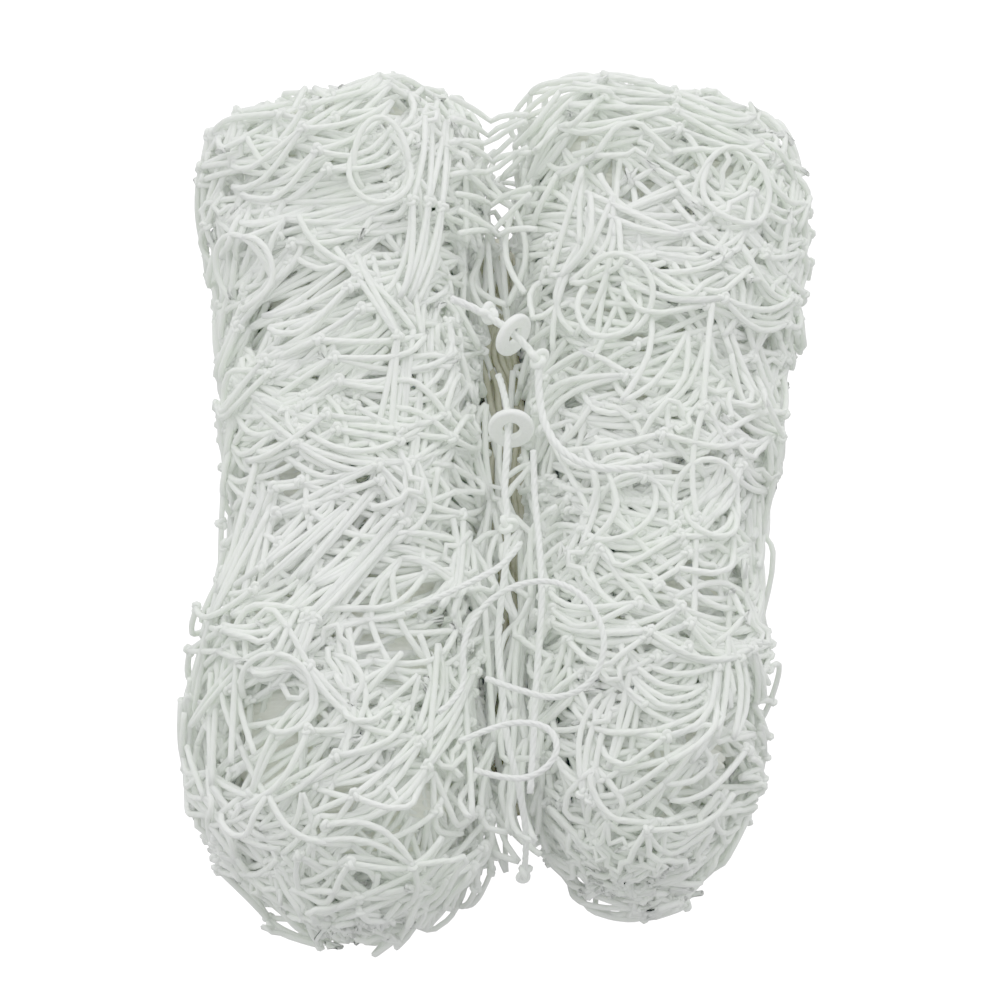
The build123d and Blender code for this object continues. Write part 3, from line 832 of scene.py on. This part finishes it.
def valley_net(rng):
    """Netting that runs along the valley, and the bars that hang across its far end."""
    net = Net(Valley(), rng)
    for rows, columns, first, half_width, deep in VALLEY_LAYERS:
        i, k = np.meshgrid(np.arange(columns), np.arange(rows), indexing="ij")
        along = first + VALLEY_STEP * (i + 0.3 * smooth_noise(rng, columns, rows, 1))
        across = half_width * (2 * k / (rows - 1) - 1) + 0.0022 * smooth_noise(rng, columns, rows, 1)
        depth = deep + 0.003 * rng.random(i.shape)
        starts, stops = diamonds(columns, rows)
        places = net.half.place(np.clip(along, *VALLEY_KNOTS), across, depth)
        net.add(places, depth, starts, stops, rng.normal(size=len(starts)))
    y, lean = np.array(BRIDGES).T[..., None]
    side = np.array([-1, 1])
    ends = net.half.place(y + side * lean, side * BRIDGE_HALF + 0 * y, 0.002)
    ends = ends.reshape(-1, 3)
    pairs = np.arange(len(ends)).reshape(-1, 2)
    net.add(ends, np.full(len(ends), 0.02), pairs[:, 0], pairs[:, 1], np.full(len(pairs), -1.5))
    net.relax()
    return net


def fold_lines(rng):
    """Strands of the back of the fold: they run side by side along the foot of the valley."""
    along = np.linspace(*BACK_ENDS, BACK_STEPS)
    lines = np.zeros((BACK_LEVELS, BACK_ROWS, BACK_STEPS, 3))
    for level in range(BACK_LEVELS):
        wander = 0.0012 * smooth_noise(rng, BACK_ROWS, BACK_STEPS, 4)
        lift = 0.0010 * smooth_noise(rng, BACK_ROWS, BACK_STEPS, 4)
        row = (np.arange(BACK_ROWS) - (BACK_ROWS - 1) / 2)[:, None]
        across = row * BACK_ACROSS + 0.0010 * (level % 2)
        middle = np.interp(along, VALLEY_Y, VALLEY_X) * level / BACK_LEVELS
        lines[level, :, :, 0] = middle + across + wander
        lines[level, :, :, 1] = along
        lines[level, :, :, 2] = BACK_FIRST + BACK_UPWARD * level + lift
    lines[..., 2] = np.maximum(lines[..., 2] * (1 - np.abs(along / BACK_HALF) ** 5), FLOOR_GAP)
    return lines.reshape(-1, BACK_STEPS, 3)


def crease_line(half, y, slope):
    """Where a crease crosses the half, as a place along its axis for each distance to the side."""
    level = y - half.start[1]
    return lambda sideways: level + tan(radians(slope)) * sideways


def wrap_edges(half):
    """The near and far edge of each wrap."""
    lines = [crease_line(half, y, slope) for y, slope in CREASES[half.name]]
    near_end = [lambda sideways: half.low * (1 - END_INSET) + 0 * sideways]
    far_end = [lambda sideways: half.high - CAP * END_INSET + 0 * sideways]
    return list(zip(near_end + lines, lines + far_end))


def packed_turns(half, rng):
    """The turns under the outer wraps: a closed skin whose ridges are strands lying side by side."""
    rows, columns = PACKED_ROWS, PACKED_COLUMNS
    along, around = np.meshgrid(np.linspace(half.low, half.high, rows),
                                np.arange(columns) / columns * 2 * pi - pi, indexing="ij")
    wander = 0.9 * smooth_noise(rng, rows, columns, 24)
    waver = wander + 0.5 * np.sin(around * 2 + along * 40)
    ridges = np.abs(np.sin(along * 2 * pi / RIDGE_WIDTH + waver))
    depth = PACKED_DEPTH - RIDGE_HEIGHT * ridges + RIDGE_HEIGHT * smooth_noise(rng, rows, columns, 30)
    points = half.place(along, around, depth)
    points[..., 2] = np.maximum(points[..., 2], FLOOR_GAP)
    points[0], points[-1] = points[0].mean(0), points[-1].mean(0)
    i, j = np.meshgrid(np.arange(rows - 1) * columns, np.arange(columns), indexing="ij")
    k = (j + 1) % columns
    quads = np.stack([i + j, i + k, i + columns + k, i + columns + j], axis=-1)
    return points.reshape(-1, 3), quads.reshape(-1, 4)


def wrap_at(edges, along):
    """Which wrap a place on the crest belongs to."""
    return next((n for n, (_, far) in enumerate(edges) if along < far(0.0)), len(edges) - 1)


for name, shape in HALVES.items():
    half = Half(name, **shape)
    edges = wrap_edges(half)
    nets = [Net(half, chance) for _ in WRAPS]
    for net, (near, far), heading in zip(nets, edges, HEADINGS[name]):
        net.wind(near, far)
        net.scatter(near, far, heading)
    for x, y, heading, rows, columns, spacing, fan, curve in FLOWS[name]:
        along, around = half.above(x / 1000, y / 1000)
        net = nets[wrap_at(edges, along)]
        net.fold(along, around, -heading, rows, columns, spacing / 1000, 0.0010, -fan, curve)
    knots = [tubes(rounds(half, ROUNDS[name], chance), TWINE / 2)]
    for wrap, net in zip(WRAPS, nets):
        net.relax()
        piece = new_mesh(f"{name}_{wrap}_netting", *tubes(net.line, TWINE / 2), look=TWINE_LOOK)
        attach(piece, BODY)
        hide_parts(f"{name}_{wrap}_wrap")
        knots.append(tubes(net.knot_shapes(), TWINE * KNOT_RADIUS))
    piece = new_mesh(f"{name}_netting_knots", *join(knots), look=TWINE_LOOK)
    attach(piece, BODY)
    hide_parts(f"{name}_mesh_knots")
    piece = new_mesh(f"{name}_packed_turns", *packed_turns(half, chance), look=PACKED_LOOK)
    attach(piece, BODY)
    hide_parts(f"{name}_inner_turns")

net = valley_net(chance)
strands = [tubes(net.line, TWINE / 2), tubes(net.knot_shapes(), TWINE * KNOT_RADIUS)]
piece = new_mesh("valley_netting", *join(strands), look=TWINE_LOOK)
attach(piece, BODY)
# The back of the fold wears the painted shade of the deep valley.
piece = new_mesh("back_fold_netting", *tubes(fold_lines(chance), TWINE / 2), look=VALLEY_SHADE_LOOK)
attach(piece, BODY)
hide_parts("back_fold")

# The border cords take the packed twine's darker olive colours, the painted shade of the deep gaps.
for name, look in (("upper_ring", RING_LOOK), ("lower_ring", RING_LOOK),
                   ("left_border_cords", PACKED_LOOK), ("right_border_cords", PACKED_LOOK)):
    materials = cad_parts[name].data.materials
    materials.clear()
    materials.append(look)


# --- floor and light ---------------------------------------------------------
FLOOR_SEEN, FLOOR_LIGHT = 3.2, 0.0   # the floor's glow as it is seen, and as it lights the bundle
SKY_NEAR, SKY_FAR = 0.02, 2.45       # the soft surroundings are brighter towards the far end
FLOOR_EDGE = 3.0                     # half the floor's width
EXPOSURE = -1.38
SOFTNESS = 2.9                       # view gamma: above 1 it lifts the darks and lowers the contrast


def area_light(place, power, size):
    light = bpy.data.lights.new("softbox", "AREA")
    light.energy = power
    light.size = size
    lamp = bpy.data.objects.new("softbox", light)
    bpy.context.scene.collection.objects.link(lamp)
    lamp.location = place
    lamp.rotation_euler = (-Vector(place)).to_track_quat("-Z", "Y").to_euler()


def make_floor():
    mesh = bpy.data.meshes.new("floor")
    edge = FLOOR_EDGE
    corners = [(-edge, -edge, 0), (edge, -edge, 0), (edge, edge, 0), (-edge, edge, 0)]
    mesh.from_pydata(corners, [], [(0, 1, 2, 3)])
    floor = bpy.data.objects.new("floor", mesh)
    bpy.context.scene.collection.objects.link(floor)
    material = bpy.data.materials.new("floor")
    material.use_nodes = True
    nodes, links = material.node_tree.nodes, material.node_tree.links
    shader = nodes["Principled BSDF"]
    shader.inputs["Base Color"].default_value = (0.55, 0.55, 0.55, 1)
    shader.inputs["Roughness"].default_value = 0.9
    shader.inputs["Emission Color"].default_value = (1, 1, 1, 1)
    path = nodes.new("ShaderNodeLightPath")
    glow = nodes.new("ShaderNodeMapRange")
    glow.inputs["To Min"].default_value = FLOOR_LIGHT
    glow.inputs["To Max"].default_value = FLOOR_SEEN
    links.new(path.outputs["Is Camera Ray"], glow.inputs["Value"])
    links.new(glow.outputs["Result"], shader.inputs["Emission Strength"])
    floor.data.materials.append(material)


def make_surroundings():
    world = bpy.data.worlds.new("studio")
    bpy.context.scene.world = world
    world.use_nodes = True
    nodes, links = world.node_tree.nodes, world.node_tree.links
    nodes["Background"].inputs["Color"].default_value = (0.97, 0.985, 1, 1)
    parts = nodes.new("ShaderNodeSeparateXYZ")
    links.new(nodes.new("ShaderNodeTexCoord").outputs["Generated"], parts.inputs["Vector"])
    sky = nodes.new("ShaderNodeMapRange")
    sky.inputs["From Min"].default_value = -1
    sky.inputs["To Min"].default_value = SKY_NEAR
    sky.inputs["To Max"].default_value = SKY_FAR
    links.new(parts.outputs["Y"], sky.inputs["Value"])
    links.new(sky.outputs["Result"], nodes["Background"].inputs["Strength"])


make_floor()
make_surroundings()
area_light((0.05, 1.2, 1.2), 11, 1.4)
area_light((-0.9, -0.3, 1.3), 2, 1.0)

view = bpy.context.scene.view_settings
view.view_transform = "Standard"
view.exposure = EXPOSURE
view.gamma = SOFTNESS
